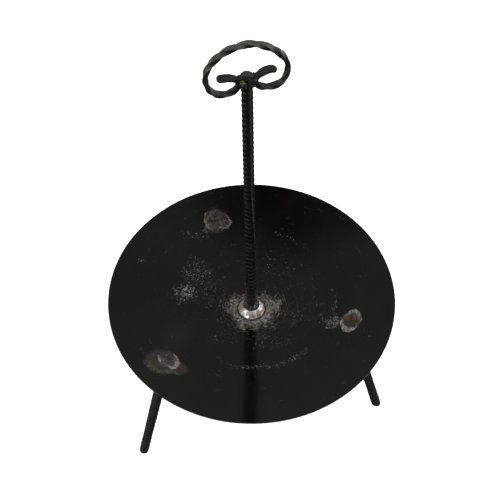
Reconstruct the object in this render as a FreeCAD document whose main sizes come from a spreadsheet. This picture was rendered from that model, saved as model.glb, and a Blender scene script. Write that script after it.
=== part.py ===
import FreeCAD, Part
import math
import os
import Sketcher

# A portable hearth: a dished steel disc on three splayed legs of ribbed bar, with a ribbed post in
# the middle that carries a twisted ring handle. Everything is welded together, so nothing moves.
# The origin is on the floor under the centre of the disc, +Z is up, and lengths are millimetres.

DIMENSIONS = [
    # the dished disc, a plough disc with its hollow side up
    ("rim_radius", 203.2),
    ("rim_height", 232.0),
    ("dish_depth", 34.0),
    ("plate_thickness", 4.0),
    ("rim_edge_thickness", 1.2),
    ("rim_bevel_width", 9.0),
    ("hub_hole_radius", 12.7),
    # half inch ribbed bar, used for the post and the legs
    ("bar_radius", 6.4),
    ("lug_height", 0.7),
    ("lug_pitch", 8.7),
    ("lug_foot_width", 3.6),
    ("lug_top_width", 1.3),
    ("lug_tilt", 5.0),
    ("rib_width", 2.4),
    # the post, the bright collar at its foot and the welds that hold them
    ("post_foot_height", 189.0),
    ("post_length", 485.0),
    ("post_lean", 0.7),
    ("post_turn", 30.0),
    ("post_plain_foot", 31.0),
    ("post_plain_top", 24.0),
    ("collar_bore_radius", 7.7),
    ("collar_base_radius", 19.0),
    ("collar_lip", 1.5),
    ("collar_top_radius", 12.2),
    ("collar_rise", 12.0),
    ("foot_weld_radius", 12.4),
    ("foot_weld_shoulder", 0.8),
    ("foot_weld_rise", 6.5),
    ("root_weld_radius", 15.5),
    ("root_weld_shoulder", 1.5),
    ("root_weld_drop", 4.5),
    ("weld_toe_width", 1.6),
    ("weld_overrun", 1.5),
    # the legs: polar places of each seat on the disc and of each foot on the floor
    ("left_seat_radius", 154.7),
    ("left_seat_angle", 220.0),
    ("left_foot_radius", 205.4),
    ("left_foot_angle", 217.5),
    ("right_seat_radius", 142.6),
    ("right_seat_angle", 347.1),
    ("right_foot_radius", 197.8),
    ("right_foot_angle", 347.0),
    ("back_seat_radius", 157.0),
    ("back_seat_angle", 109.2),
    ("back_foot_radius", 203.0),
    ("back_foot_angle", 109.2),
    ("leg_blank_length", 245.0),
    ("leg_plain_top", 30.0),
    ("leg_weld_radius", 12.0),
    ("leg_weld_drop", 8.0),
    # the ring handle, forged from one square bar and hand bent, so its halves differ a little
    ("handle_turn", 15.0),
    ("handle_rise", 2.0),
    ("ring_half_width", 47.8),
    ("ring_crown", 45.0),
    ("ring_bar_side", 7.0),
    ("ring_flank_side", 5.6),
    ("ring_flank_span", 22.0),
    ("ring_quarter_turn", 20.0),
    ("ring_plain_end", 20.0),
    ("left_widest_height", 3.2),
    ("right_widest_height", -0.5),
    ("left_lobe_bottom", 25.8),
    ("right_lobe_bottom", 27.6),
    ("left_lobe_reach", 26.2),
    ("right_lobe_reach", 29.0),
    ("left_cheek_roundness", 2.0),
    ("right_cheek_roundness", 2.25),
    ("left_shoulder_roundness", 2.05),
    ("right_shoulder_roundness", 1.65),
    ("hairpin_drop", 13.0),
    ("hairpin_gap", 0.1),
    ("hairpin_bar_side", 6.2),
    ("leaf_bend_reach", 28.7),
    ("leaf_reach", 35.2),
    ("left_leaf_droop", 0.5),
    ("right_leaf_droop", 1.6),
    ("leaf_width", 11.2),
    ("leaf_thickness", 3.4),
    ("left_nugget_reach", 6.0),
    ("right_nugget_reach", 7.6),
    ("nugget_front", 4.4),
    ("nugget_drop", 9.2),
    ("nugget_half_width", 4.6),
    ("nugget_half_height", 5.8),
]

SHEET = "size"
FLOOR_TOOL_SIZE = 600.0
FLOOR_TOOL_DEPTH = 60.0
SECTION_STEP = 3.0
ARC_STEPS = 24
# the leaves' long taper into the hairpins, as shares of a leaf's length
LEAF_TAPER_START = 0.65
LEAF_TAPER_SPAN = 0.5
LEAF_TIP_WIDTH = 0.35
LEAF_TIP_THICKNESS = 0.7
# the hairpins' taper into the twisted bar
RING_TAPER_START = 0.9
RING_TAPER_LENGTH = 12.0
# the stretch beside the ring's widest points where the bar is thinner, as shares of the half width
FLANK_START = 0.8
FLANK_FADE = 0.15

DISH_TOP_SPHERE = "(size.rim_radius^2 + size.dish_depth^2) / (2 * size.dish_depth)"
DISH_UNDER_SPHERE = f"{DISH_TOP_SPHERE} + size.plate_thickness"
DISH_TOP_HEIGHT = "size.rim_height - size.dish_depth"
DISH_UNDER_HEIGHT = f"{DISH_TOP_HEIGHT} - size.plate_thickness"
SPHERE_CENTRE_HEIGHT = f"{DISH_TOP_HEIGHT} + {DISH_TOP_SPHERE}"


def fill_sheet(doc):
    sheet = doc.addObject("Spreadsheet::Sheet", SHEET)
    for row, (alias, value) in enumerate(DIMENSIONS, start=1):
        sheet.set(f"A{row}", alias)
        sheet.set(f"B{row}", str(value))
        sheet.setAlias(f"B{row}", alias)
    doc.recompute()


def number(doc, formula):
    return float(doc.getObject(SHEET).evalExpression(formula))


# ------------------------------------------------------------------ bodies and sketches

def origin_feature(body, role):
    for feature in body.Origin.OriginFeatures:
        if feature.Role == role:
            return feature
    raise ValueError(role)


def new_body(doc, label):
    body = doc.addObject("PartDesign::Body", label)
    body.Label = label
    return body


def new_sketch(body, name, plane):
    sketch = body.newObject("Sketcher::SketchObject", name)
    sketch.AttachmentSupport = [(origin_feature(body, plane), "")]
    sketch.MapMode = "FlatFace"
    return sketch


def constrain(sketch, formula, kind, *places):
    """Add a dimension to the sketch and bind it to a formula of the sheet."""
    start = number(sketch.Document, formula)
    index = sketch.addConstraint(Sketcher.Constraint(kind, *places, start))
    name = f"{kind}_{index}"
    sketch.renameConstraint(index, name)
    sketch.setExpression(f"Constraints.{name}", formula)


def outline(sketch, corners):
    """A closed outline of straight lines, whose corners are pairs of sheet formulas."""
    doc = sketch.Document
    points = [FreeCAD.Vector(number(doc, x), number(doc, y), 0) for x, y in corners]
    count = len(points)
    for index in range(count):
        sketch.addGeometry(Part.LineSegment(points[index], points[(index + 1) % count]), False)
    for index in range(count):
        sketch.addConstraint(Sketcher.Constraint("Coincident", index, 2, (index + 1) % count, 1))
    for index, (x, y) in enumerate(corners):
        constrain(sketch, x, "DistanceX", -1, 1, index, 1)
        constrain(sketch, y, "DistanceY", -1, 1, index, 1)


def revolve(body, sketch, name):
    feature = body.newObject("PartDesign::Revolution", name)
    feature.Profile = sketch
    feature.ReferenceAxis = (sketch, ["V_Axis"])
    feature.Angle = 360.0
    return feature


def turned_body(doc, label, corners):
    """A ring or bush turned about the Z axis, from corners given as (radius, height)."""
    body = new_body(doc, label)
    sketch = new_sketch(body, f"{label}_section", "XZ_Plane")
    outline(sketch, corners)
    revolve(body, sketch, f"{label}_turning")
    return body


# ------------------------------------------------------------------ the dished disc

def add_arc(sketch, radius_formula, centre_height, start_point, end_point):
    """The lower arc of a circle about (0, centre_height), from start_point to end_point."""
    doc = sketch.Document
    centre = FreeCAD.Vector(0, number(doc, centre_height), 0)
    circle = Part.Circle(centre, FreeCAD.Vector(0, 0, 1), number(doc, radius_formula))
    angles = [math.atan2(point.y - centre.y, point.x) for point in (start_point, end_point)]
    return sketch.addGeometry(Part.ArcOfCircle(circle, *angles), False)


def make_dish_plate(doc):
    body = new_body(doc, "dish_plate")
    sketch = new_sketch(body, "dish_section", "XZ_Plane")
    hole = number(doc, "size.hub_hole_radius")
    rim = number(doc, "size.rim_radius")
    top = number(doc, "size.rim_height")
    bevel = rim - number(doc, "size.rim_bevel_width")
    centre = number(doc, SPHERE_CENTRE_HEIGHT)
    upper = number(doc, DISH_TOP_SPHERE)
    lower = number(doc, DISH_UNDER_SPHERE)

    def on_sphere(radius, reach):
        return FreeCAD.Vector(reach, centre - math.sqrt(radius**2 - reach**2), 0)

    hole_top = on_sphere(upper, hole)
    hole_under = on_sphere(lower, hole)
    rim_top = FreeCAD.Vector(rim, top, 0)
    rim_under = FreeCAD.Vector(rim, top - number(doc, "size.rim_edge_thickness"), 0)
    bevel_end = on_sphere(lower, bevel)

    top_arc = add_arc(sketch, DISH_TOP_SPHERE, SPHERE_CENTRE_HEIGHT, hole_top, rim_top)
    rim_edge = sketch.addGeometry(Part.LineSegment(rim_top, rim_under), False)
    rim_bevel = sketch.addGeometry(Part.LineSegment(rim_under, bevel_end), False)
    under_arc = add_arc(sketch, DISH_UNDER_SPHERE, SPHERE_CENTRE_HEIGHT, hole_under, bevel_end)
    hole_wall = sketch.addGeometry(Part.LineSegment(hole_under, hole_top), False)
    joins = [
        (top_arc, 2, rim_edge, 1),
        (rim_edge, 2, rim_bevel, 1),
        (rim_bevel, 2, under_arc, 2),
        (under_arc, 1, hole_wall, 1),
        (hole_wall, 2, top_arc, 1),
        (top_arc, 3, under_arc, 3),
    ]
    for join in joins:
        sketch.addConstraint(Sketcher.Constraint("Coincident", *join))
    sketch.addConstraint(Sketcher.Constraint("PointOnObject", top_arc, 3, -2))
    sketch.addConstraint(Sketcher.Constraint("Vertical", rim_edge))
    sketch.addConstraint(Sketcher.Constraint("Vertical", hole_wall))
    constrain(sketch, SPHERE_CENTRE_HEIGHT, "DistanceY", -1, 1, top_arc, 3)
    constrain(sketch, DISH_TOP_SPHERE, "Radius", top_arc)
    constrain(sketch, DISH_UNDER_SPHERE, "Radius", under_arc)
    constrain(sketch, "size.hub_hole_radius", "DistanceX", -1, 1, hole_wall, 1)
    constrain(sketch, "size.rim_radius", "DistanceX", -1, 1, rim_edge, 1)
    constrain(sketch, "size.rim_edge_thickness", "DistanceY", rim_edge, 2, rim_edge, 1)
    constrain(sketch, "size.rim_radius - size.rim_bevel_width", "DistanceX", -1, 1, under_arc, 2)
    revolve(body, sketch, "dish_turning")
    return body


# ------------------------------------------------------------------ ribbed bar

def add_pad(body, sketch, name, length_formula):
    pad = body.newObject("PartDesign::Pad", name)
    pad.Profile = sketch
    pad.setExpression("Length", length_formula)
    return pad


def add_lug_row(body, name, side, first_height, count):
    """A row of crescent lugs: discs set off to one side of the bar, so that they fade into it."""
    sketch = new_sketch(body, f"{name}_section", "XZ_Plane")
    shift = f"{side} * size.lug_height"
    sketch.setExpression("AttachmentOffset.Base.x", shift)
    sketch.setExpression("AttachmentOffset.Base.y", first_height)
    sketch.AttachmentOffset.Rotation.Axis = FreeCAD.Vector(1, 0, 0)
    sketch.setExpression("AttachmentOffset.Rotation.Angle", "size.lug_tilt")
    root = "size.bar_radius - size.lug_height"
    crest = "size.bar_radius"
    outline(sketch, [
        ("0", "-size.lug_foot_width / 2"),
        (root, "-size.lug_foot_width / 2"),
        (crest, "-size.lug_top_width / 2"),
        (crest, "size.lug_top_width / 2"),
        (root, "size.lug_foot_width / 2"),
        ("0", "size.lug_foot_width / 2"),
    ])
    lug = revolve(body, sketch, f"{name}_lug")
    pattern = body.newObject("PartDesign::LinearPattern", name)
    pattern.Originals = [lug]
    pattern.Direction = (origin_feature(body, "Z_Axis"), [""])
    pattern.Mode = "Spacing"
    pattern.setExpression("Offset", "size.lug_pitch")
    pattern.setExpression("Occurrences", count)
    body.Tip = pattern
    return pattern


def ribbed_bar(doc, label, length, plain_foot, plain_top):
    """Reinforcing bar along Z: a round core, two long ribs at +Y and -Y, and two rows of lugs."""
    body = new_body(doc, label)
    core = new_sketch(body, f"{label}_core_section", "XY_Plane")
    circle = Part.Circle(FreeCAD.Vector(), FreeCAD.Vector(0, 0, 1), number(doc, "size.bar_radius"))
    core.addGeometry(circle, False)
    core.addConstraint(Sketcher.Constraint("Coincident", 0, 3, -1, 1))
    constrain(core, "size.bar_radius", "Radius", 0)
    add_pad(body, core, f"{label}_core", length)

    ribs = new_sketch(body, f"{label}_rib_section", "XY_Plane")
    half_width = "size.rib_width / 2"
    reach = "size.bar_radius + size.lug_height"
    outline(ribs, [
        (f"-{half_width}", f"-({reach})"),
        (half_width, f"-({reach})"),
        (half_width, reach),
        (f"-{half_width}", reach),
    ])
    add_pad(body, ribs, f"{label}_ribs", length)

    lug_span = f"({length} - {plain_foot} - {plain_top})"
    count = f"floor({lug_span} / size.lug_pitch)"
    second_row = f"{plain_foot} + size.lug_pitch / 2"
    add_lug_row(body, f"{label}_front_lugs", 1, plain_foot, count)
    add_lug_row(body, f"{label}_rear_lugs", -1, second_row, count)
    return body


# ------------------------------------------------------------------ the post and its collar

def make_post(doc):
    post = ribbed_bar(doc, "post", "size.post_length", "size.post_plain_foot", "size.post_plain_top")
    lean = FreeCAD.Rotation(FreeCAD.Vector(0, 1, 0), -number(doc, "size.post_lean"))
    turn = FreeCAD.Rotation(FreeCAD.Vector(0, 0, 1), number(doc, "size.post_turn"))
    foot = FreeCAD.Vector(0, 0, number(doc, "size.post_foot_height"))
    post.Placement = FreeCAD.Placement(foot, lean * turn)
    return post


def make_centre_collar(doc):
    """A turned bush that fills the hole in the disc, with a tapered bright flange on top."""
    bore = "size.collar_bore_radius"
    flange_top = f"{DISH_TOP_HEIGHT} + size.collar_rise"
    spigot_top = sphere_height(DISH_TOP_SPHERE, "size.hub_hole_radius")
    flange_foot = sphere_height(DISH_TOP_SPHERE, "size.collar_base_radius")
    spigot_foot = sphere_height(DISH_UNDER_SPHERE, "size.hub_hole_radius")
    return turned_body(doc, "centre_collar", [
        (bore, spigot_foot),
        ("size.hub_hole_radius", spigot_foot),
        ("size.hub_hole_radius", spigot_top),
        ("size.collar_base_radius", flange_foot),
        ("size.collar_base_radius", f"{flange_foot} + size.collar_lip"),
        ("size.collar_top_radius", flange_top),
        (bore, flange_top),
    ])


def sphere_height(sphere_radius, reach):
    """Height of the dish's upper or lower face at a distance from its axis."""
    return f"{SPHERE_CENTRE_HEIGHT} - sqrt(({sphere_radius})^2 - ({reach})^2)"


def cut_with(doc, label, base, tools):
    """Cut tools from base one after the other. The last cut takes the label."""
    result = base
    for index, tool in enumerate(tools, start=1):
        cut = doc.addObject("Part::Cut", f"{label}_cut_{index}")
        cut.Base = result
        cut.Tool = tool
        result = cut
    result.Label = label
    return result


def make_post_foot_weld(doc, post):
    top = f"{DISH_TOP_HEIGHT} + size.collar_rise"
    blank = turned_body(doc, "post_foot_weld_blank", [
        ("0", top),
        ("size.foot_weld_radius", top),
        ("size.foot_weld_radius - size.foot_weld_shoulder", f"{top} + size.foot_weld_rise / 2"),
        ("size.bar_radius + size.weld_toe_width", f"{top} + size.foot_weld_rise"),
        ("0", f"{top} + size.foot_weld_rise"),
    ])
    return cut_with(doc, "post_foot_weld", blank, [post])


def make_post_root_weld(doc, post):
    """The bead under the disc, laid from the post across to the disc, over the collar's end."""
    bead_top = f"{DISH_UNDER_HEIGHT} + size.weld_overrun"
    bead_middle = f"{DISH_UNDER_HEIGHT} - size.root_weld_drop / 2"
    bead_foot = f"{DISH_UNDER_HEIGHT} - size.root_weld_drop"
    blank = turned_body(doc, "post_root_weld_blank", [
        ("0", bead_top),
        ("size.root_weld_radius", bead_top),
        ("size.root_weld_radius - size.root_weld_shoulder", bead_middle),
        ("size.bar_radius + size.weld_toe_width", bead_foot),
        ("0", bead_foot),
    ])
    return cut_with(doc, "post_root_weld", blank, [under_sphere(doc), post])


# ------------------------------------------------------------------ the legs

def under_sphere(doc):
    """The ball whose surface is the disc's underside: all that lies above it is inside.

    It is turned so that its poles and seam are at its sides, away from every cut.
    """
    ball = doc.getObject("under_sphere")
    if ball is None:
        ball = doc.addObject("Part::Sphere", "under_sphere")
        ball.setExpression("Radius", DISH_UNDER_SPHERE)
        ball.Placement.Rotation = FreeCAD.Rotation(FreeCAD.Vector(1, 0, 0), 90)
        ball.setExpression("Placement.Base.z", SPHERE_CENTRE_HEIGHT)
        doc.recompute()
    return ball


def floor_block(doc):
    block = doc.getObject("floor_block")
    if block is None:
        block = doc.addObject("Part::Box", "floor_block")
        block.Length = FLOOR_TOOL_SIZE
        block.Width = FLOOR_TOOL_SIZE
        block.Height = FLOOR_TOOL_DEPTH
        corner = FreeCAD.Vector(-FLOOR_TOOL_SIZE / 2, -FLOOR_TOOL_SIZE / 2, -FLOOR_TOOL_DEPTH)
        block.Placement.Base = corner
        doc.recompute()
    return block


def polar_point(doc, side, place, height):
    reach = number(doc, f"size.{side}_{place}_radius")
    angle = math.radians(number(doc, f"size.{side}_{place}_angle"))
    return FreeCAD.Vector(reach * math.cos(angle), reach * math.sin(angle), height)


def leg_line(doc, side):
    """The foot on the floor, the seat on the disc's underside, and the direction between them."""
    foot = polar_point(doc, side, "foot", 0.0)
    seat_height = sphere_height(DISH_UNDER_SPHERE, f"size.{side}_seat_radius")
    seat = polar_point(doc, side, "seat", number(doc, seat_height))
    direction = (seat - foot).normalize()
    return foot, seat, direction


def make_leg(doc, side):
    """A ribbed bar that is cut off flat at the floor and saddled to the disc's underside."""
    label = f"leg_{side}"
    foot, seat, direction = leg_line(doc, side)
    plain_foot = "size.lug_pitch"
    blank = ribbed_bar(doc, f"{label}_blank", "size.leg_blank_length", plain_foot, "size.leg_plain_top")
    overrun = (number(doc, "size.leg_blank_length") - (seat - foot).Length) / 2
    turn = FreeCAD.Rotation(FreeCAD.Vector(0, 0, 1), direction)
    blank.Placement = FreeCAD.Placement(foot - direction * overrun, turn)
    return cut_with(doc, label, blank, [floor_block(doc), under_sphere(doc)])


def make_leg_weld(doc, side, leg):
    """A tapered bead round the top of a leg, against the disc's underside."""
    label = f"leg_weld_{side}"
    _, seat, direction = leg_line(doc, side)
    blank = doc.addObject("Part::Cone", f"{label}_blank")
    blank.setExpression("Radius1", "size.bar_radius + size.weld_toe_width")
    blank.setExpression("Radius2", "size.leg_weld_radius")
    blank.setExpression("Height", "size.leg_weld_drop")
    turn = FreeCAD.Rotation(FreeCAD.Vector(0, 0, 1), direction)
    drop = number(doc, "size.leg_weld_drop - size.weld_overrun")
    blank.Placement = FreeCAD.Placement(seat - direction * drop, turn)
    return cut_with(doc, label, blank, [under_sphere(doc), leg])


# ------------------------------------------------------------------ the ring handle

def quarter_arc(centre, half_width, half_height, start, end, roundness=2.0):
    """Points from start to end, in quarter turns, on an oval in the ring's plane.

    A roundness of 2 is an ellipse, less is flatter at the shoulder, and more is squarer.
    """
    points = []
    for index in range(ARC_STEPS + 1):
        angle = math.radians(90.0 * (start + (end - start) * index / ARC_STEPS))
        across, up = math.cos(angle), math.sin(angle)
        across = math.copysign(abs(across) ** (2 / roundness), across)
        up = math.copysign(abs(up) ** (2 / roundness), up)
        points.append(FreeCAD.Vector(centre[0] + half_width * across, 0, centre[1] + half_height * up))
    return points


def half_ring_path(doc, side):
    """Centre line from a leaf's tip, round its hairpin and lobe, to the crown of the ring."""
    bend = number(doc, "size.leaf_bend_reach")
    reach = number(doc, f"size.{side}_lobe_reach")
    drop = number(doc, "size.hairpin_drop")
    bottom = number(doc, f"size.{side}_lobe_bottom")
    cheek = number(doc, f"size.{side}_cheek_roundness")
    shoulder = number(doc, f"size.{side}_shoulder_roundness")
    half_width = number(doc, "size.ring_half_width")
    widest = number(doc, f"size.{side}_widest_height")
    rise = number(doc, "size.ring_crown") - widest
    pin = number(doc, "size.bar_radius + size.hairpin_bar_side / 2 + size.hairpin_gap")
    tip = (number(doc, "size.leaf_reach"), 0, -number(doc, f"size.{side}_leaf_droop"))
    points = [FreeCAD.Vector(*tip)]
    points += quarter_arc((bend, -drop), bend - pin, drop, 1, 2)
    points += quarter_arc((reach, -drop), reach - pin, bottom - drop, 2, 3)[1:]
    points += quarter_arc((reach, widest), half_width - reach, widest + bottom, -1, 0, cheek)[1:]
    points += quarter_arc((0, widest), half_width, rise, 0, 1, shoulder)[1:]
    return points


def ring_path(doc):
    right = half_ring_path(doc, "right")
    left = [FreeCAD.Vector(-point.x, 0, point.z) for point in half_ring_path(doc, "left")]
    return left + right[-2::-1]


def smooth_step(value):
    clipped = min(max(value, 0.0), 1.0)
    return clipped * clipped * (3 - 2 * clipped)


class RingBar:
    """How the bar's section and its twist change along the ring, from one leaf tip to the other."""

    def __init__(self, doc, length):
        self.length = length
        self.side = number(doc, "size.ring_bar_side")
        self.flank_side = number(doc, "size.ring_flank_side")
        self.flank_span = number(doc, "size.ring_flank_span")
        self.pin_side = number(doc, "size.hairpin_bar_side")
        self.leaf_width = number(doc, "size.leaf_width")
        self.leaf_thickness = number(doc, "size.leaf_thickness")
        self.leaf_length = number(doc, "size.leaf_reach - size.bar_radius - size.hairpin_bar_side")
        self.half_width = number(doc, "size.ring_half_width")
        self.plain = self.leaf_length + number(doc, "size.ring_plain_end")
        twisted = length - 2 * self.plain
        half_turns = round(twisted / number(doc, "size.ring_quarter_turn") / 2)
        self.twist = -math.radians(180.0 * half_turns)

    def angle(self, along):
        share = (along - self.plain) / (self.length - 2 * self.plain)
        return self.twist * min(max(share, 0.0), 1.0)

    def section(self, along, point):
        """Thickness in the ring's plane and width across it."""
        end = min(along, self.length - along)
        to_pin = smooth_step((end / self.leaf_length - LEAF_TAPER_START) / LEAF_TAPER_SPAN)
        to_ring = smooth_step((end - self.plain * RING_TAPER_START) / RING_TAPER_LENGTH)
        flank = math.exp(-((point.z / self.flank_span) ** 2))
        flank *= smooth_step((abs(point.x) / self.half_width - FLANK_START) / FLANK_FADE)
        ring_side = self.side + (self.flank_side - self.side) * flank
        bar_side = self.pin_side + (ring_side - self.pin_side) * to_ring
        thickness = self.leaf_thickness + (bar_side - self.leaf_thickness) * to_pin
        width = self.leaf_width + (bar_side - self.leaf_width) * to_pin
        tip_radius = self.leaf_width / 2
        if end < tip_radius:
            width *= max(math.sqrt(1 - (1 - end / tip_radius) ** 2), LEAF_TIP_WIDTH)
            thickness *= LEAF_TIP_THICKNESS + (1 - LEAF_TIP_THICKNESS) * end / tip_radius
        return thickness, width


def ring_section(point, tangent, thickness, width, angle):
    across = FreeCAD.Vector(0, 1, 0)
    outward = tangent.cross(across).normalize()
    corners = []
    for side, cross in ((1, 1), (1, -1), (-1, -1), (-1, 1)):
        reach = side * thickness / 2
        shift = cross * width / 2
        corners.append(
            point
            + outward * (reach * math.cos(angle) - shift * math.sin(angle))
            + across * (reach * math.sin(angle) + shift * math.cos(angle))
        )
    return Part.makePolygon(corners + corners[:1])


def make_ring_handle(doc, placement):
    path = Part.BSplineCurve()
    path.interpolate(ring_path(doc))
    edge = path.toShape()
    bar = RingBar(doc, edge.Length)
    count = round(edge.Length / SECTION_STEP)
    sections = []
    for index in range(count + 1):
        along = edge.Length * index / count
        parameter = path.parameterAtDistance(along, path.FirstParameter)
        point = path.value(parameter)
        tangent = FreeCAD.Vector(*path.tangent(parameter)[0])
        thickness, width = bar.section(along, point)
        sections.append(ring_section(point, tangent, thickness, width, bar.angle(along)))
    handle = doc.addObject("Part::Feature", "ring_handle")
    handle.Label = "ring_handle"
    handle.Shape = Part.makeLoft(sections, True, False)
    handle.Placement = placement
    return handle


def nugget_tools(doc, placement):
    """What the nuggets are trimmed to: the flat front of both hairpins and the post's round core."""
    depth = number(doc, "size.ring_half_width")
    block = doc.addObject("Part::Box", "behind_hairpin_fronts")
    block.Length = 2 * depth
    block.Width = depth
    block.Height = 2 * depth
    corner = FreeCAD.Vector(-depth, -number(doc, "size.hairpin_bar_side") / 2, -depth)
    block.Placement = placement.multiply(FreeCAD.Placement(corner, FreeCAD.Rotation()))
    core = doc.addObject("Part::Cylinder", "post_core_tool")
    core.setExpression("Radius", "size.bar_radius")
    core.Height = 2 * depth
    foot = FreeCAD.Vector(0, 0, -depth)
    core.Placement = placement.multiply(FreeCAD.Placement(foot, FreeCAD.Rotation()))
    return [block, core]


def make_handle_weld(doc, side_name, side, placement, tools):
    """A nugget of weld across the fronts of the post and one hairpin."""
    label = f"handle_weld_{side_name}"
    blank = doc.addObject("Part::Ellipsoid", f"{label}_blank")
    blank.setExpression("Radius1", "size.nugget_half_height")
    blank.setExpression("Radius2", "size.nugget_half_width")
    blank.setExpression("Radius3", "size.nugget_half_width")
    blank.Angle1 = -90.0
    blank.Angle2 = 90.0
    blank.Angle3 = 360.0
    reach = side * number(doc, f"size.{side_name}_nugget_reach")
    front = -number(doc, "size.nugget_front")
    centre = FreeCAD.Vector(reach, front, -number(doc, "size.nugget_drop"))
    blank.Placement = placement.multiply(FreeCAD.Placement(centre, FreeCAD.Rotation()))
    return cut_with(doc, label, blank, tools)


def handle_placement(doc):
    """The ring's own frame: just above the top of the leaning post, turned a little about it."""
    lean = FreeCAD.Rotation(FreeCAD.Vector(0, 1, 0), -number(doc, "size.post_lean"))
    foot = FreeCAD.Vector(0, 0, number(doc, "size.post_foot_height"))
    rise = FreeCAD.Vector(0, 0, number(doc, "size.post_length + size.handle_rise"))
    turn = FreeCAD.Rotation(FreeCAD.Vector(0, 0, 1), number(doc, "size.handle_turn"))
    return FreeCAD.Placement(foot + lean.multVec(rise), lean * turn)


# ------------------------------------------------------------------ the whole object

def make_pieces(doc):
    post = make_post(doc)
    placement = handle_placement(doc)
    ring = make_ring_handle(doc, placement)
    trims = nugget_tools(doc, placement)
    pieces = [
        make_dish_plate(doc),
        make_centre_collar(doc),
        post,
        make_post_foot_weld(doc, post),
        make_post_root_weld(doc, post),
        ring,
        make_handle_weld(doc, "left", -1, placement, trims),
        make_handle_weld(doc, "right", 1, placement, trims),
    ]
    for side in ("left", "right", "back"):
        leg = make_leg(doc, side)
        pieces += [leg, make_leg_weld(doc, side, leg)]
    return pieces


def check_document(doc, pieces):
    for item in doc.Objects:
        if "Invalid" in item.State or "Error" in item.State:
            raise RuntimeError(f"{item.Label} failed: {item.State}")
    for piece in pieces:
        shape = piece.Shape
        if shape.isNull() or not shape.isValid() or len(shape.Solids) != 1:
            raise RuntimeError(f"{piece.Label}: {len(shape.Solids)} solids, valid {shape.isValid()}")


def write_pieces(pieces):
    os.makedirs("parts", exist_ok=True)
    for piece in pieces:
        piece.Shape.exportStep(os.path.join("parts", f"{piece.Label}.step"))
        print(f"{piece.Label}: {piece.Shape.Volume:.0f} mm3, {len(piece.Shape.Faces)} faces")


def main():
    doc = FreeCAD.newDocument("portable_hearth")
    fill_sheet(doc)
    pieces = make_pieces(doc)
    doc.recompute()
    check_document(doc, pieces)
    write_pieces(pieces)


main()
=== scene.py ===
import math

import bpy
import numpy as np
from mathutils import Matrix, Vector


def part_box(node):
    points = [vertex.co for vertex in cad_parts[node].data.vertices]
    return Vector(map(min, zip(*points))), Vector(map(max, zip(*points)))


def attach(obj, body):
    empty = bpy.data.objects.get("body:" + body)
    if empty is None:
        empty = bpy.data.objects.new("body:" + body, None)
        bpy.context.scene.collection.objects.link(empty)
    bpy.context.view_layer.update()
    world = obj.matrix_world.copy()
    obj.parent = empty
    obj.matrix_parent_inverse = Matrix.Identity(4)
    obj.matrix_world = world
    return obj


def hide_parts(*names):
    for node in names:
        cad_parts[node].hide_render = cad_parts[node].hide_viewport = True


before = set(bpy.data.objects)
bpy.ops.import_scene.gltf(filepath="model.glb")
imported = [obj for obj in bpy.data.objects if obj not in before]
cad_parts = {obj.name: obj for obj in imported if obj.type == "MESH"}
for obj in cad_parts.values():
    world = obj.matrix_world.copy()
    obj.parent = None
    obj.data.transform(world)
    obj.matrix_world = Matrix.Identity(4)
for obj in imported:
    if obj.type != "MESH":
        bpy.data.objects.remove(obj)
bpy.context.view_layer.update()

# The looks of a portable hearth: a dished black steel disc on three legs of ribbed bar, with a
# ribbed post that carries a ring handle of twisted bar. Lengths are metres, in the row's frame.

MM = 0.001

# ------------------------------ places read from the frame

DISH_LOW, DISH_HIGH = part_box("dish_plate")
RIM_RADIUS = (DISH_HIGH.x - DISH_LOW.x) / 2
RIM_HEIGHT = DISH_HIGH.z
DISH_DEPTH = 34 * MM
PLATE_THICKNESS = 4 * MM
RIM_EDGE = 1.2 * MM
RIM_BEVEL = 9 * MM
TOP_SPHERE = (RIM_RADIUS**2 + DISH_DEPTH**2) / (2 * DISH_DEPTH)
SPHERE_CENTRE = np.array([0.0, 0.0, RIM_HEIGHT - DISH_DEPTH + TOP_SPHERE])
HOLE_RADIUS = 12.7 * MM
BAR_RADIUS = 6.4 * MM


def cad_points(node):
    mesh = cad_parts[node].data
    points = np.zeros(len(mesh.vertices) * 3, np.float32)
    mesh.vertices.foreach_get("co", points)
    return points.reshape(-1, 3).astype(float)


def bar_axis(node):
    """A point on the bar's axis at the height of its lower end, and its upward direction."""
    points = cad_points(node)
    low = points[:, 2].min()
    height = points[:, 2].max() - low
    middles = []
    for share in (0.2, 0.8):
        level = low + share * height
        slab = points[np.abs(points[:, 2] - level) < 0.06 * height]
        middle = (slab.min(axis=0) + slab.max(axis=0)) / 2
        middles.append(middle)
    direction = middles[1] - middles[0]
    direction /= np.linalg.norm(direction)
    foot = middles[0] + direction * (low - middles[0][2]) / direction[2]
    return foot, direction


# ------------------------------ meshes made of rows of points

def finish_mesh(name, points, faces, replaced, sharp_angle=None):
    mesh = bpy.data.meshes.new(name)
    mesh.from_pydata(points.tolist(), [], faces)
    mesh.validate()
    mesh.shade_smooth()
    if sharp_angle is not None:
        mesh.set_sharp_from_angle(angle=math.radians(sharp_angle))
    piece = bpy.data.objects.new(name, mesh)
    bpy.context.scene.collection.objects.link(piece)
    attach(piece, "root")
    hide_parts(replaced)
    return piece


def tube_faces(rows, columns, closed=False):
    """Quads between rows that wrap round. Each end has a fan of triangles, unless it is closed."""
    faces = []
    row_pairs = rows if closed else rows - 1
    for row in range(row_pairs):
        here = row * columns
        there = ((row + 1) % rows) * columns
        for column in range(columns):
            beside = (column + 1) % columns
            faces.append((here + column, here + beside, there + beside, there + column))
    if not closed:
        first = rows * columns
        last = (rows - 1) * columns
        for column in range(columns):
            beside = (column + 1) % columns
            faces.append((first, beside, column))
            faces.append((first + 1, last + column, last + beside))
    return faces


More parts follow.
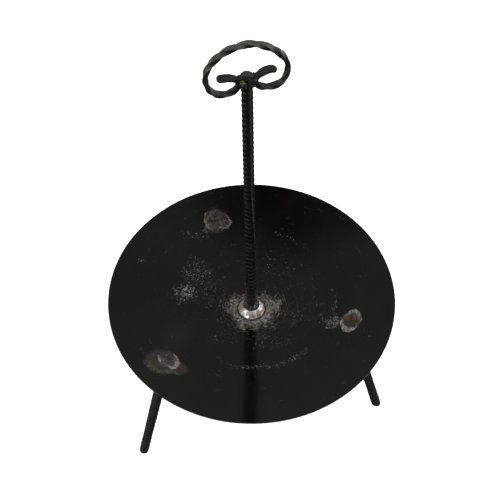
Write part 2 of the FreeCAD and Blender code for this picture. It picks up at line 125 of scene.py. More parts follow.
def tube(name, rings, replaced, sharp_angle=None, closed=False):
    """A closed skin through rings of points, an array of rows by columns by 3."""
    rows, columns, _ = rings.shape
    points = rings.reshape(-1, 3)
    if not closed:
        ends = np.array([rings[0].mean(axis=0), rings[-1].mean(axis=0)])
        points = np.vstack([points, ends])
    faces = tube_faces(rows, columns, closed)
    return finish_mesh(name, points, faces, replaced, sharp_angle)


def smooth_step(value):
    clipped = np.clip(value, 0.0, 1.0)
    return clipped * clipped * (3 - 2 * clipped)


def lumps(points, size, seed, octaves=3):
    """Smooth unevenness between about -1 and 1, the same on each run."""
    draw = np.random.default_rng(seed)
    total = np.zeros(points.shape[:-1])
    weight = 0.0
    for octave in range(octaves):
        share = 0.55**octave
        for _ in range(5):
            heading = draw.normal(size=3)
            heading *= 2 * math.pi * 1.7**octave / (size * np.linalg.norm(heading))
            total += share * np.sin(points @ heading + draw.uniform(0, 2 * math.pi))
        weight += share
    return total / (weight * 2.2)


def frame_across(direction):
    """Two unit vectors across a direction, the first one as near to +X as it can be."""
    side = np.array([1.0, 0.0, 0.0]) - direction * direction[0]
    side /= np.linalg.norm(side)
    return side, np.cross(direction, side)


def spokes(direction, angle):
    """Unit vectors that point out from an axis at these angles."""
    side, cross = frame_across(direction)
    return side * np.cos(angle)[..., None] + cross * np.sin(angle)[..., None]


# ------------------------------ ribbed bar

LUG_HEIGHT = 0.52 * MM
LUG_PITCH = 8.7 * MM
LUG_WIDTHS = 2.4 * MM, 0.6 * MM
RIB_WIDTHS = 3.4 * MM, 1.4 * MM
BODY_SWELL = 0.3 * MM
PLAIN_FOOT, PLAIN_TOP = 31 * MM, 20 * MM
HEAD_DEPTH, HEAD_SPREAD, HEAD_EDGE = 5.6 * MM, 0.95 * MM, 1.1 * MM


def plateau(distance, foot_width, top_width):
    """1 within half the top width of 0, falling smoothly to 0 at half the foot width."""
    span = (foot_width - top_width) / 2
    return 1 - smooth_step((np.abs(distance) - top_width / 2) / span)


def ribbed_radius(angle, along, first_lug, last_lug, rib_angle, lug_tilt):
    """The bar's radius at an angle and a distance along it, with its long ribs and its lugs."""
    from_rib = angle - rib_angle
    rib = plateau(np.sin(from_rib) * BAR_RADIUS, *RIB_WIDTHS)
    height = LUG_HEIGHT * rib
    for row, offset in ((1, 0.0), (-1, LUG_PITCH / 2)):
        facing = row * np.sin(from_rib)
        skewed = along - first_lug - offset - lug_tilt * row * np.cos(from_rib) * BAR_RADIUS
        nearest = np.round(skewed / LUG_PITCH)
        inside = (nearest >= 0) & (first_lug + offset + nearest * LUG_PITCH <= last_lug)
        lug = plateau(skewed - nearest * LUG_PITCH, *LUG_WIDTHS)
        crescent = smooth_step((facing - 0.3) / 0.55)
        height = np.maximum(height, LUG_HEIGHT * lug * crescent * inside)
    return BAR_RADIUS + BODY_SWELL + height


def mark_crests(piece, radius):
    """Keeps, on each point of a ribbed bar, how far it stands up on a rib or a lug."""
    shares = np.zeros(len(piece.data.vertices))
    shares[:radius.size] = (radius.ravel() - BAR_RADIUS - BODY_SWELL) / LUG_HEIGHT
    piece.data.attributes.new("crest", "FLOAT", "POINT").data.foreach_set("value", shares)


def head_swell(skin, angle, from_top):
    """How far the post's hammered head stands out past the bar, with its rounded edge."""
    head = smooth_step((HEAD_DEPTH - from_top) / (1.3 * MM))
    facets = 0.2 * MM * np.cos(7 * angle + 0.6) + 0.2 * MM * lumps(skin, 9 * MM, 8)
    edge = smooth_step((HEAD_EDGE - from_top) / HEAD_EDGE)
    return head * (facets + HEAD_SPREAD) - edge * 0.3 * MM


def head_drop(points, centre, from_top):
    """How far hammer blows have sunk the post's top face, which is lower at the front."""
    edge = smooth_step((HEAD_EDGE - from_top) / HEAD_EDGE)
    dents = 0.3 * MM - 0.4 * MM * lumps(points, 8 * MM, 21)
    struck = 1.8 * MM * smooth_step((0.5 * MM - (points - centre)[..., 1]) / (7 * MM))
    return edge * (dents + struck)


def make_post():
    foot, direction = bar_axis("post")
    low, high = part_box("post")
    length = (high.z - low.z) / direction[2]
    columns, rows = 64, 1450
    angle = np.linspace(0, 2 * math.pi, columns, endpoint=False)[None, :]
    along = np.linspace(0, length, rows)[:, None]
    rib_turn = math.radians(64) * smooth_step((0.62 - along / length) / 0.5)
    rib_angle = math.radians(-59) + rib_turn
    ribbed = ribbed_radius(angle, along, PLAIN_FOOT, length - PLAIN_TOP, rib_angle, 0.0)
    centre = foot + direction * along[..., None]
    around = spokes(direction, angle)
    skin = centre + around * ribbed[..., None]
    rough = 0.12 * MM * lumps(skin, 14 * MM, 3)
    radius = ribbed + rough + head_swell(skin, angle, length - along)
    points = centre + around * radius[..., None]
    points -= direction * head_drop(points, centre, length - along)[..., None]
    mark_crests(tube("ribbed_post", points, "post", 40), ribbed)


def make_leg(side_name, seed):
    """A leg, its lower end cut flat on the floor and its top buried in the plate."""
    node = f"leg_{side_name}"
    foot, direction = bar_axis(node)
    _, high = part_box(node)
    length = (high.z - foot[2]) / direction[2]
    columns, rows = 64, 560
    angle = np.linspace(0, 2 * math.pi, columns, endpoint=False)[None, :]
    share = np.linspace(0, 1, rows)[:, None]
    around = spokes(direction, angle)
    cut = -(around[..., 2] * BAR_RADIUS) / direction[2]
    along = cut + (length - cut) * share
    rib_angle = math.radians(-50 + 9 * seed) + 1.1 * along / length
    first_lug, last_lug, lug_tilt = 6 * MM, length - 15 * MM, 0.1
    ribbed = ribbed_radius(angle, along, first_lug, last_lug, rib_angle, lug_tilt)
    centre = foot + direction * along[..., None]
    rough = lumps(centre + around * BAR_RADIUS, 11 * MM, seed)
    burr = smooth_step(1 - (along - cut) / (2.2 * MM))
    radius = ribbed + 0.14 * MM * rough - burr * (0.5 + 0.35 * rough) * MM
    points = centre + around * radius[..., None]
    points[0, :, 2] = 0.0
    points[..., 2] = np.maximum(points[..., 2], 0.0)
    mark_crests(tube(f"ribbed_leg_{side_name}", points, node, 40), ribbed)


# ------------------------------ the ring handle

HANDLE_TURN = math.radians(15)
HANDLE_RISE = 2 * MM
LEAF_REACH, LEAF_WIDTH, LEAF_THICKNESS = 35.2 * MM, 11.2 * MM, 3.4 * MM
LEAF_BEND_REACH = 28.7 * MM
HAIRPIN_DROP, HAIRPIN_SIDE = 13 * MM, 6.2 * MM
RING_HALF_WIDTH, RING_CROWN = 47.8 * MM, 45 * MM
RING_SIDE, FLANK_SIDE = 7.0 * MM, 5.6 * MM
FLANK_SPAN = 22 * MM
PLAIN_END = 20 * MM
QUARTER_TURN = 20 * MM
SQUARENESS = 0.16

LEFT_HALF = {
    "droop": 0.5 * MM, "lobe_reach": 26.2 * MM, "lobe_bottom": 25.8 * MM,
    "cheek": 2.0, "widest": 3.2 * MM, "shoulder": 2.05,
}
RIGHT_HALF = {
    "droop": 1.6 * MM, "lobe_reach": 29.0 * MM, "lobe_bottom": 27.6 * MM,
    "cheek": 2.25, "widest": -0.5 * MM, "shoulder": 1.65,
}


def signed_power(value, power):
    return np.sign(value) * np.abs(value) ** power


def quarter(centre, half_width, half_height, start, end, roundness=2.0):
    """Points from start to end, in quarter turns, on an oval in the ring's plane."""
    angle = np.linspace(start, end, 60) * math.pi / 2
    across = signed_power(np.cos(angle), 2 / roundness)
    up = signed_power(np.sin(angle), 2 / roundness)
    return np.stack([centre[0] + half_width * across, centre[1] + half_height * up], axis=1)


def half_ring_path(half):
    """Centre line in the ring's plane, from a leaf's tip to the crown."""
    pin = BAR_RADIUS + HAIRPIN_SIDE / 2 + 0.1 * MM
    reach, bottom, widest = half["lobe_reach"], half["lobe_bottom"], half["widest"]
    rise, drop = RING_CROWN - widest, widest + bottom
    return np.vstack([
        [(LEAF_REACH, -half["droop"])],
        quarter((LEAF_BEND_REACH, -HAIRPIN_DROP), LEAF_BEND_REACH - pin, HAIRPIN_DROP, 1, 2),
        quarter((reach, -HAIRPIN_DROP), reach - pin, bottom - HAIRPIN_DROP, 2, 3)[1:],
        quarter((reach, widest), RING_HALF_WIDTH - reach, drop, -1, 0, half["cheek"])[1:],
        quarter((0.0, widest), RING_HALF_WIDTH, rise, 0, 1, half["shoulder"])[1:],
    ])


def even_spacing(path, rows):
    """The path's points and tangents at equal steps, smoothed, and the distance along it."""
    steps = np.linalg.norm(np.diff(path, axis=0), axis=1)
    distance = np.concatenate([[0.0], np.cumsum(steps)])
    along = np.linspace(0, distance[-1], rows)
    points = np.stack([np.interp(along, distance, path[:, axis]) for axis in (0, 1)], axis=1)
    reach = 5
    kernel = np.hanning(2 * reach + 1)
    kernel /= kernel.sum()
    padded = np.pad(points, ((reach, reach), (0, 0)), mode="reflect", reflect_type="odd")
    points = np.stack([np.convolve(padded[:, axis], kernel, "valid") for axis in (0, 1)], axis=1)
    tangents = np.gradient(points, axis=0)
    tangents /= np.linalg.norm(tangents, axis=1)[:, None]
    return points, tangents, along


def ring_sizes(points, along):
    """Thickness in the ring's plane, width across it and twist, along the bar."""
    length = along[-1]
    end = np.minimum(along, length - along)
    leaf_length = LEAF_REACH - BAR_RADIUS - HAIRPIN_SIDE
    plain = leaf_length + PLAIN_END
    to_pin = smooth_step((end / leaf_length - 0.65) / 0.5)
    to_ring = smooth_step((end - plain * 0.9) / (12 * MM))
    at_flank = np.exp(-(points[:, 1] / FLANK_SPAN) ** 2)
    at_flank *= smooth_step((np.abs(points[:, 0]) / RING_HALF_WIDTH - 0.8) / 0.15)
    ring_side = RING_SIDE + (FLANK_SIDE - RING_SIDE) * at_flank
    bar_side = HAIRPIN_SIDE + (ring_side - HAIRPIN_SIDE) * to_ring
    thickness = LEAF_THICKNESS + (bar_side - LEAF_THICKNESS) * to_pin
    width = LEAF_WIDTH + (bar_side - LEAF_WIDTH) * to_pin
    tip = np.clip(end / (LEAF_WIDTH / 2), 0, 1)
    width = width * np.maximum(np.sqrt(1 - (1 - tip) ** 2), 0.12)
    thickness = thickness * (0.45 + 0.55 * tip**0.5)
    half_turns = round((length - 2 * plain) / QUARTER_TURN / 2)
    twist = -math.pi * half_turns * np.clip((along - plain) / (length - 2 * plain), 0, 1)
    return thickness, width, twist


def ring_skin(points, tangents, thickness, width, twist):
    """Rings of points round the bar, in the ring's own axes, before any unevenness."""
    angle = np.linspace(0, 2 * math.pi, 56, endpoint=False)
    across = signed_power(np.cos(angle), SQUARENESS)[None, :] * thickness[:, None] / 2
    deep = signed_power(np.sin(angle), SQUARENESS)[None, :] * width[:, None] / 2
    turn_cos, turn_sin = np.cos(twist)[:, None], np.sin(twist)[:, None]
    outward = across * turn_cos - deep * turn_sin
    depth = across * turn_sin + deep * turn_cos
    return np.stack([
        points[:, 0:1] - tangents[:, 1:2] * outward,
        depth,
        points[:, 1:2] + tangents[:, 0:1] * outward,
    ], axis=2)


def make_ring():
    right = half_ring_path(RIGHT_HALF)
    left = half_ring_path(LEFT_HALF) * np.array([-1.0, 1.0])
    points, tangents, along = even_spacing(np.vstack([left, right[-2::-1]]), 1500)
    skin = ring_skin(points, tangents, *ring_sizes(points, along))
    swell = 1 + 0.05 * lumps(skin, 15 * MM, 5) + 0.03 * lumps(skin, 5 * MM, 6)
    centre = np.stack([points[:, 0], np.zeros(len(points)), points[:, 1]], axis=1)[:, None, :]
    skin = centre + (skin - centre) * swell[..., None]
    tube("twisted_ring", to_handle_frame(skin), "ring_handle", 50)


def to_handle_frame(local):
    """From the ring's own axes (reach, depth, height above the post's top) to the row's frame."""
    foot, direction = bar_axis("post")
    _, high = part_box("post")
    top = foot + direction * ((high.z - foot[2]) / direction[2] + HANDLE_RISE)
    side, cross = frame_across(direction)
    reach = side * math.cos(HANDLE_TURN) + cross * math.sin(HANDLE_TURN)
    depth = -side * math.sin(HANDLE_TURN) + cross * math.cos(HANDLE_TURN)
    return (
        top
        + local[..., 0:1] * reach
        + local[..., 1:2] * depth
        + local[..., 2:3] * direction
    )


# ------------------------------ the dished disc

def sphere_height(radius, reach):
    return SPHERE_CENTRE[2] - np.sqrt(radius**2 - reach**2)


def seat_of(side_name):
    """Where a leg's axis meets the disc's upper face."""
    foot, direction = bar_axis(f"leg_{side_name}")
    offset = foot - SPHERE_CENTRE
    along = -offset @ direction
    gap = TOP_SPHERE**2 - (offset @ offset - along**2)
    return foot + direction * (along - math.sqrt(gap))


SEATS = {side_name: seat_of(side_name) for side_name in ("left", "right", "back")}


def make_plate():
    segments = 480
    under_sphere = TOP_SPHERE + PLATE_THICKNESS
    top_reach = np.linspace(HOLE_RADIUS, RIM_RADIUS - 0.5 * MM, 150)
    under_reach = np.linspace(RIM_RADIUS - RIM_BEVEL, HOLE_RADIUS, 40)
    edge = [
        (RIM_RADIUS - 0.12 * MM, RIM_HEIGHT - 0.05 * MM),
        (RIM_RADIUS, RIM_HEIGHT - 0.35 * MM),
        (RIM_RADIUS, RIM_HEIGHT - RIM_EDGE + 0.2 * MM),
        (RIM_RADIUS - 0.3 * MM, RIM_HEIGHT - RIM_EDGE - 0.05 * MM),
    ]
    profile = np.vstack([
        np.stack([top_reach, sphere_height(TOP_SPHERE, top_reach)], axis=1),
        edge,
        np.stack([under_reach, sphere_height(under_sphere, under_reach)], axis=1),
    ])
    angle = np.linspace(0, 2 * math.pi, segments, endpoint=False)
    rings = np.stack([
        profile[:, 0:1] * np.cos(angle),
        profile[:, 0:1] * np.sin(angle),
        np.repeat(profile[:, 1:2], segments, axis=1),
    ], axis=2)
    top_rows = len(top_reach)
    rings[..., 2] += 0.25 * MM * lumps(rings * [1, 1, 0], 160 * MM, 11, 2)
    for seed, seat in enumerate(SEATS.values()):
        rings[:top_rows, :, 2] += burn_through(rings[:top_rows], seat, seed)
    tube("hearth_plate", rings, "dish_plate", 32, closed=True)


def burn_through(points, seat, seed):
    """How far the plate's upper face is raised and puckered above a leg's weld."""
    offset = points - seat
    reach = np.linalg.norm(offset, axis=-1)
    ridge = np.exp(-(((reach - 8.5 * MM) / (2.4 * MM)) ** 2))
    dome = np.exp(-((reach / (11 * MM)) ** 2))
    uneven = 1 + 0.7 * lumps(points, 9 * MM, 40 + seed)
    return 0.5 * MM * ridge * uneven + 0.25 * MM * dome


# ------------------------------ collar and welds

COLLAR_BORE, COLLAR_NECK = 7.7 * MM, 12.6 * MM
COLLAR_BASE, COLLAR_TOP = 19 * MM, 12.2 * MM
BEAD_BORE = BAR_RADIUS - 0.4 * MM
FOOT_BEAD_REACH, ROOT_BEAD_REACH, LEG_BEAD_REACH = 12.0 * MM, 14.4 * MM, 11.2 * MM


def turned(name, profile, replaced, roughness, grain, seed, axis, shares):
    """A closed ring from (radius, height) pairs, each with its own share of the lumps."""
    segments = 160
    origin, direction = axis
    around = spokes(direction, np.linspace(0, 2 * math.pi, segments, endpoint=False))
    radius = np.repeat(profile[:, 0:1], segments, axis=1)
    height = np.repeat(profile[:, 1:2], segments, axis=1)
    skin = origin + around[None] * radius[..., None] + direction * height[..., None]
    radius = radius + roughness * lumps(skin, grain, seed) * shares[:, None]
    points = origin + around[None] * radius[..., None] + direction * height[..., None]
    tube(name, points, replaced, closed=True)


def rounded_profile(corners):
    """A closed outline through the corners, in small even steps, with the corners softened."""
    steps, softenings = 14, 4
    outline = []
    for start, end in zip(corners, corners[1:] + corners[:1]):
        start, end = np.array(start), np.array(end)
        for step in range(steps):
            outline.append(start + (end - start) * step / steps)
    outline = np.array(outline)
    for _ in range(softenings):
        outline = (np.roll(outline, 1, axis=0) + 2 * outline + np.roll(outline, -1, axis=0)) / 4
    return outline


def make_collar():
    low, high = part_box("centre_collar")
    top, base = high.z, sphere_height(TOP_SPHERE, COLLAR_BASE)
    profile = rounded_profile([
        (COLLAR_BORE, low.z),
        (COLLAR_NECK, low.z),
        (COLLAR_NECK, base - 0.4 * MM),
        (COLLAR_BASE - 0.1 * MM, base - 0.1 * MM),
        (COLLAR_BASE - 0.2 * MM, base + 1.6 * MM),
        (15.9 * MM, base + 6.6 * MM),
        (COLLAR_TOP, top),
        (COLLAR_BORE, top),
    ])
    axis = (np.zeros(3), np.array([0.0, 0.0, 1.0]))
    roughness, grain, seed = 0.35 * MM, 13 * MM, 31
    outer = smooth_step((profile[:, 0] - 11 * MM) / (3 * MM))
    turned(
        "polished_collar", profile, "centre_collar",
        roughness, grain, seed, axis, outer,
    )


def bead(name, node, axis, reach, low, high, seed):
    """A lumpy weld bead round a bar: its outer radius, and its two ends along the axis."""
    middle = (low + high) / 2
    profile = rounded_profile([
        (BEAD_BORE, low),
        (reach * 0.9 + BEAD_BORE * 0.1, low),
        (reach, low + (high - low) * 0.25),
        ((reach + BEAD_BORE) / 2, middle + (high - middle) * 0.55),
        (BEAD_BORE + 0.6 * MM, high),
        (BEAD_BORE, high),
    ])
    roughness, grain = 0.9 * MM, 5 * MM
    free = smooth_step((profile[:, 0] - BEAD_BORE) / (2.5 * MM))
    turned(name, profile, node, roughness, grain, seed, axis, free)


def make_welds():
    foot, direction = bar_axis("post")
    low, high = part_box("post_foot_weld")
    start, end = low.z - foot[2], high.z - foot[2]
    bead("foot_bead", "post_foot_weld", (foot, direction), FOOT_BEAD_REACH, start, end, 51)
    low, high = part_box("post_root_weld")
    start, end = foot[2] - high.z + 0.4 * MM, foot[2] - low.z
    bead("root_bead", "post_root_weld", (foot, -direction), ROOT_BEAD_REACH, start, end, 52)
    start = PLATE_THICKNESS - 0.8 * MM
    end = PLATE_THICKNESS + 6.8 * MM
    for seed, (side_name, seat) in enumerate(SEATS.items(), 60):
        _, direction = bar_axis(f"leg_{side_name}")
        piece, node = f"leg_bead_{side_name}", f"leg_weld_{side_name}"
        bead(piece, node, (seat, -direction), LEG_BEAD_REACH, start, end, seed)


def lump_of_weld(centre, sizes, seed):
    """Rings of points round a lumpy ball, in the ring's own axes."""
    rows, columns = 48, 72
    polar = np.linspace(0.02, math.pi - 0.02, rows)[:, None]
    angle = np.linspace(0, 2 * math.pi, columns, endpoint=False)[None, :]
    ball = np.stack([
        np.sin(polar) * np.cos(angle),
        np.sin(polar) * np.sin(angle),
        np.cos(polar) * np.ones_like(angle),
    ], axis=2)
    swell = 1 + 0.16 * lumps(ball, 1.3, seed) + 0.07 * lumps(ball, 0.45, seed + 1)
    return to_handle_frame(np.array(centre) + ball * np.array(sizes) * swell[..., None])


def nugget(side_name, blobs, seed):
    """Rounded lumps of weld between the post and a hairpin, as one piece."""
    points = []
    faces = []
    for index, (centre, sizes) in enumerate(blobs):
        rings = lump_of_weld(np.array(centre) * MM, np.array(sizes) * MM, seed + 2 * index)
        start = len(points)
        points.extend(rings.reshape(-1, 3))
        points.extend([rings[0].mean(axis=0), rings[-1].mean(axis=0)])
        for face in tube_faces(*rings.shape[:2]):
            faces.append(tuple(corner + start for corner in face))
    return finish_mesh(
        f"nugget_{side_name}", np.array(points), faces, f"handle_weld_{side_name}"
    )


def make_nuggets():
    nugget("left", [
        ((-6.2, -4.3, -8.6), (4.2, 4.0, 4.8)),
        ((-4.2, -4.8, -14.4), (4.0, 3.2, 3.6)),
        ((-8.4, 0.2, -4.6), (3.0, 4.0, 3.6)),
    ], 71)
    nugget("right", [
        ((7.5, -3.9, -9.4), (4.0, 3.8, 4.9)),
        ((4.6, -4.9, -14.8), (3.8, 3.0, 3.4)),
        ((8.4, 0.4, -5.0), (2.8, 3.6, 3.2)),
    ], 83)


# ------------------------------ materials

class Finish:
    """One node material, with short calls for the textures and mixes that it is built from."""

    def __init__(self, name, world=False):
        self.material = bpy.data.worlds.new(name) if world else bpy.data.materials.new(name)
        self.material.use_nodes = True
        self.tree = self.material.node_tree
        self.tree.nodes.clear()
        output = self.add("ShaderNodeOutputWorld" if world else "ShaderNodeOutputMaterial")
        self.shader = self.add("ShaderNodeBackground" if world else "ShaderNodeBsdfPrincipled")
        self.tree.links.new(self.shader.outputs[0], output.inputs[0])
        self.place = self.add("ShaderNodeTexCoord").outputs["Object"]

    def add(self, kind):
        return self.tree.nodes.new(kind)

    def feed(self, socket, value):
        if isinstance(value, bpy.types.NodeSocket):
            self.tree.links.new(value, socket)
        elif socket.type == "RGBA" and not hasattr(value, "__len__"):
            socket.default_value = (value, value, value, 1)
        elif socket.type == "RGBA":
            socket.default_value = (*value[:3], 1)
        else:
            socket.default_value = value

    def set(self, **values):
        for name, value in values.items():
            self.feed(self.shader.inputs[name.replace("_", " ")], value)

    def math(self, operation, first, second=0.0, third=0.0):
        node = self.add("ShaderNodeMath")
        node.operation = operation
        for socket, value in zip(node.inputs, (first, second, third)):
            self.feed(socket, value)
        return node.outputs[0]

    def times(self, *values):
        product = values[0]
        for value in values[1:]:
            product = self.math("MULTIPLY", product, value)
        return product

    def plus(self, *values):
        total = values[0]
        for value in values[1:]:
            total = self.math("ADD", total, value)
        return total

    def most(self, *values):
        found = values[0]
        for value in values[1:]:
            found = self.math("MAXIMUM", found, value)
        return found

    def noise(self, scale, detail=4.0, roughness=0.55, place=None, distortion=0.0):
        node = self.add("ShaderNodeTexNoise")
        self.feed(node.inputs["Vector"], place or self.place)
        self.feed(node.inputs["Scale"], scale)
        self.feed(node.inputs["Detail"], detail)
        self.feed(node.inputs["Roughness"], roughness)
        self.feed(node.inputs["Distortion"], distortion)
        return node.outputs["Fac"]

    def cells(self, scale, place=None, feature="F1"):
        node = self.add("ShaderNodeTexVoronoi")
        node.feature = feature
        self.feed(node.inputs["Vector"], place or self.place)
        self.feed(node.inputs["Scale"], scale)
        return node.outputs["Distance"]

    def span(self, value, low, high, to_low=0.0, to_high=1.0):
        """Smoothly carries low..high to to_low..to_high, and stays there beyond."""
        node = self.add("ShaderNodeMapRange")
        node.interpolation_type = "SMOOTHSTEP"
        for socket, number in zip(node.inputs, (value, low, high, to_low, to_high)):
            self.feed(socket, number)
        return node.outputs[0]

    def blend(self, share, first, second):
        node = self.add("ShaderNodeMix")
        node.data_type = "RGBA"
        self.feed(node.inputs[0], share)
        self.feed(node.inputs[6], first)
        self.feed(node.inputs[7], second)
        return node.outputs[2]

    def split(self, value):
        node = self.add("ShaderNodeSeparateXYZ")
        self.feed(node.inputs[0], value)
        return tuple(node.outputs)

    def inverse(self, value):
        return self.math("SUBTRACT", 1.0, value)

    def vector(self, operation, first, second):
        node = self.add("ShaderNodeVectorMath")
        node.operation = operation
        self.feed(node.inputs[0], first)
        self.feed(node.inputs[1], second)
        return node.outputs["Value" if operation in ("LENGTH", "DISTANCE", "DOT_PRODUCT") else 0]

    def spot(self, centre, half_sizes, turn=0.0, place=None):
        """How far out a point is: 0 at an oval's centre, 1 on its edge. Sizes are mm."""
        node = self.add("ShaderNodeMapping")
        node.vector_type = "TEXTURE"
        self.feed(node.inputs["Vector"], place or self.place)
        self.feed(node.inputs["Location"], (centre[0] * MM, centre[1] * MM, 0.0))
        self.feed(node.inputs["Rotation"], (0.0, 0.0, math.radians(turn)))
        self.feed(node.inputs["Scale"], (half_sizes[0] * MM, half_sizes[1] * MM, 1000.0))
        return self.vector("LENGTH", node.outputs[0], (0.0, 0.0, 0.0))

    def streaks(self, turn, length, width):
        """Noise drawn out into straight strokes, in mm, that lie at an angle on the plate."""
        node = self.add("ShaderNodeMapping")
        node.vector_type = "TEXTURE"
        self.feed(node.inputs["Vector"], self.place)
        self.feed(node.inputs["Rotation"], (0.0, 0.0, math.radians(turn)))
        self.feed(node.inputs["Scale"], (length * MM, width * MM, 1.0))
        return self.noise(1.0, 2.0, place=node.outputs[0])

    def swirl(self, width, sweep):
        """Noise drawn out round the Z axis: its strokes' width in mm, and how many go round."""
        x, y, _ = self.split(self.place)
        reach = self.math("SQRT", self.math("MULTIPLY_ADD", y, y, self.times(x, x)))
        joined = self.add("ShaderNodeCombineXYZ")
        self.feed(joined.inputs[0], self.times(reach, 1 / (width * MM)))
        self.feed(joined.inputs[1], self.times(self.math("DIVIDE", x, reach), sweep))
        self.feed(joined.inputs[2], self.times(self.math("DIVIDE", y, reach), sweep))
        return self.noise(1.0, 2.0, place=joined.outputs[0])

    def worn(self, low, high):
        """1 on outward edges, 0 elsewhere."""
        return self.span(self.add("ShaderNodeNewGeometry").outputs["Pointiness"], low, high)

    def band(self, value, middle, half_width):
        """1 where the value is at the middle, fading to 0 at half the width away."""
        away = self.math("ABSOLUTE", self.math("SUBTRACT", value, middle))
        return self.span(away, 0.0, half_width, 1.0, 0.0)

    def wobble(self, size, scale, detail=3.0):
        """The place, pushed about by noise, so that edges drawn with it aren't true ovals."""
        node = self.add("ShaderNodeTexNoise")
        self.feed(node.inputs["Vector"], self.place)
        self.feed(node.inputs["Scale"], scale)
        self.feed(node.inputs["Detail"], detail)
        shift = self.vector("SUBTRACT", node.outputs["Color"], (0.5, 0.5, 0.5))
        push = self.add("ShaderNodeVectorMath")
        push.operation = "SCALE"
        self.feed(push.inputs[0], shift)
        self.feed(push.inputs["Scale"], size)
        return self.vector("ADD", self.place, push.outputs[0])

    def bump(self, height, distance, strength):
        node = self.add("ShaderNodeBump")
        self.feed(node.inputs["Height"], height)
        self.feed(node.inputs["Distance"], distance)
        self.feed(node.inputs["Strength"], strength)
        return node.outputs[0]


# the plate: oiled black, burnt underneath, scaled over the legs' welds, ground to steel at the hub
OILED_BLACK, OILED_BROWN = (0.0018, 0.0017, 0.0017), (0.0034, 0.0029, 0.0025)
SMEARED_GREY = (0.012, 0.012, 0.0115)
BURNT_BLACK, BURNT_BROWN = (0.006, 0.0055, 0.005), (0.016, 0.012, 0.009)
SCALE_GREY = (0.031, 0.0275, 0.0235)
SCALE_BROWN = (0.034, 0.0205, 0.0115)
PALE_SCALE_AND_LIGHT = (0.072, 0.062, 0.056)
BARE_STEEL, WARM_STEEL = (0.72, 0.7, 0.67), (0.36, 0.28, 0.22)
DULL_STEEL, BROWN_STEEL = (0.24, 0.235, 0.225), (0.15, 0.11, 0.08)

# the collar
COLLAR_STEEL, COLLAR_TINT, COLLAR_SOOT = (0.66, 0.635, 0.6), (0.5, 0.39, 0.36), (0.12, 0.1, 0.085)

# the ribbed bars: the post is blackest, and the legs are greyer, a painted light that makes the
# same bar look more lit on the legs
POST_BLACK, POST_GREY = (0.005, 0.0049, 0.005), (0.011, 0.0105, 0.01)
LEG_LIT_BLACK, LEG_LIT_GREY = (0.019, 0.019, 0.0195), (0.034, 0.034, 0.033)
RUST = (0.022, 0.016, 0.007)
# the first colour lightens the bars' ribs and lugs: wear there, and a painted highlight along them
CREST_WEAR_AND_HIGHLIGHT, HAMMERED_TOP_AND_HIGHLIGHT = (0.085, 0.083, 0.081), (0.095, 0.094, 0.093)

# the ring
OLIVE_DARK, OLIVE_PALE = (0.045, 0.045, 0.037), (0.102, 0.1, 0.085)
RING_TINT, RING_SCORCHED = (0.1, 0.077, 0.07), (0.02, 0.02, 0.0205)
# the first colour here is painted shade for the ring's down-facing faces; the second is wear on
# its edges
RING_PAINTED_SHADE, RING_RUBBED = (0.014, 0.014, 0.0125), (0.24, 0.235, 0.215)

# the welds, each with a body colour and a tint
WELD_GREY, WELD_BROWN = (0.09, 0.083, 0.073), (0.07, 0.05, 0.032)
HOT_BLACK, HOT_BROWN = (0.016, 0.014, 0.012), (0.03, 0.022, 0.014)
NUGGET_OLIVE, OLIVE_TINT = (0.02, 0.019, 0.014), (0.03, 0.028, 0.014)
NUGGET_PURPLE, PURPLE_TINT = (0.022, 0.02, 0.022), (0.03, 0.025, 0.036)
# the gold colour is a painted highlight for one place on the left handle weld
GOLD_HIGHLIGHT, SLAG, WELD_GRAIN = (0.26, 0.225, 0.115), (0.012, 0.011, 0.01), (0.62, 0.59, 0.53)


def fading(finish, place, centre, half_sizes, turn=0.0, strength=1.0, core=0.4):
    """A soft-edged oval patch: its full strength inside its core, and nothing past its edge."""
    return finish.span(finish.spot(centre, half_sizes, turn, place), core, 1.1, strength, 0.0)


def hub_scuffs(finish, fine):
    """Bare steel ground in strokes round the collar, thinning out into single scratches."""
    place = finish.wobble(36 * MM, 26)
    near = fading(finish, place, (0, 0), (47, 38))
    wide = fading(finish, place, (7, -4), (84, 60), core=0.1)
    crossed = finish.most(finish.streaks(62, 14, 2.0), finish.streaks(-24, 12, 1.9))
    strokes = finish.plus(
        finish.times(finish.swirl(2.6, 5.0), 0.45),
        finish.times(crossed, 0.4),
        finish.times(fine, 0.15),
    )
    reached = finish.plus(strokes, finish.times(near, 0.13), finish.times(wide, 0.17))
    return finish.span(reached, 0.61, 1.08)


# Where chips gather on the plate: centre and half sizes in mm, and strength.
CHIP_CLUSTERS = [
    ((-80, 58), (38, 40), 0.98), ((-97, 22), (32, 28), 1.15), ((-95, 22), (20, 17), 1.4),
    ((-84, 120), (34, 17), 0.8), ((-70, 128), (9, 8), 1.1), ((-159, 68), (11, 9), 0.9),
    ((-55, 30), (40, 66), 0.7), ((88, -6), (56, 44), 0.66), ((24, -58), (76, 28), 0.66),
    ((30, 72), (60, 46), 0.62), ((116, -30), (22, 19), 1.3), ((62, -14), (30, 26), 0.8),
    ((-52, -54), (12, 10), 1.0), ((-40, -50), (50, 30), 0.6),
]


def spatter(finish):
    """Small bright chips, along a wear ring, in clusters and, sparsely, all over the hollow."""
    place = finish.wobble(14 * MM, 40, 5.0)
    ring = finish.band(finish.spot((3, 14), (117, 117), 0, place), 1.0, 0.085)
    arcs = finish.most(
        fading(finish, place, (32, -92), (104, 44), strength=1.05),
        fading(finish, place, (116, -6), (24, 50), strength=0.95),
        fading(finish, place, (56, 112), (58, 30), -40, 0.8),
    )
    presence = finish.times(ring, arcs)
    for centre, half_sizes, strength in CHIP_CLUSTERS:
        cluster = fading(finish, place, centre, half_sizes, 0, strength, 0.25)
        presence = finish.most(presence, cluster)
    presence = finish.most(presence, fading(finish, place, (0, 30), (150, 130), 0, 0.42, 0.5))
    chips = finish.noise(260, 3.0, 0.55, distortion=2.2)
    return finish.span(finish.plus(chips, finish.times(presence, 0.22)), 0.74, 1.06)


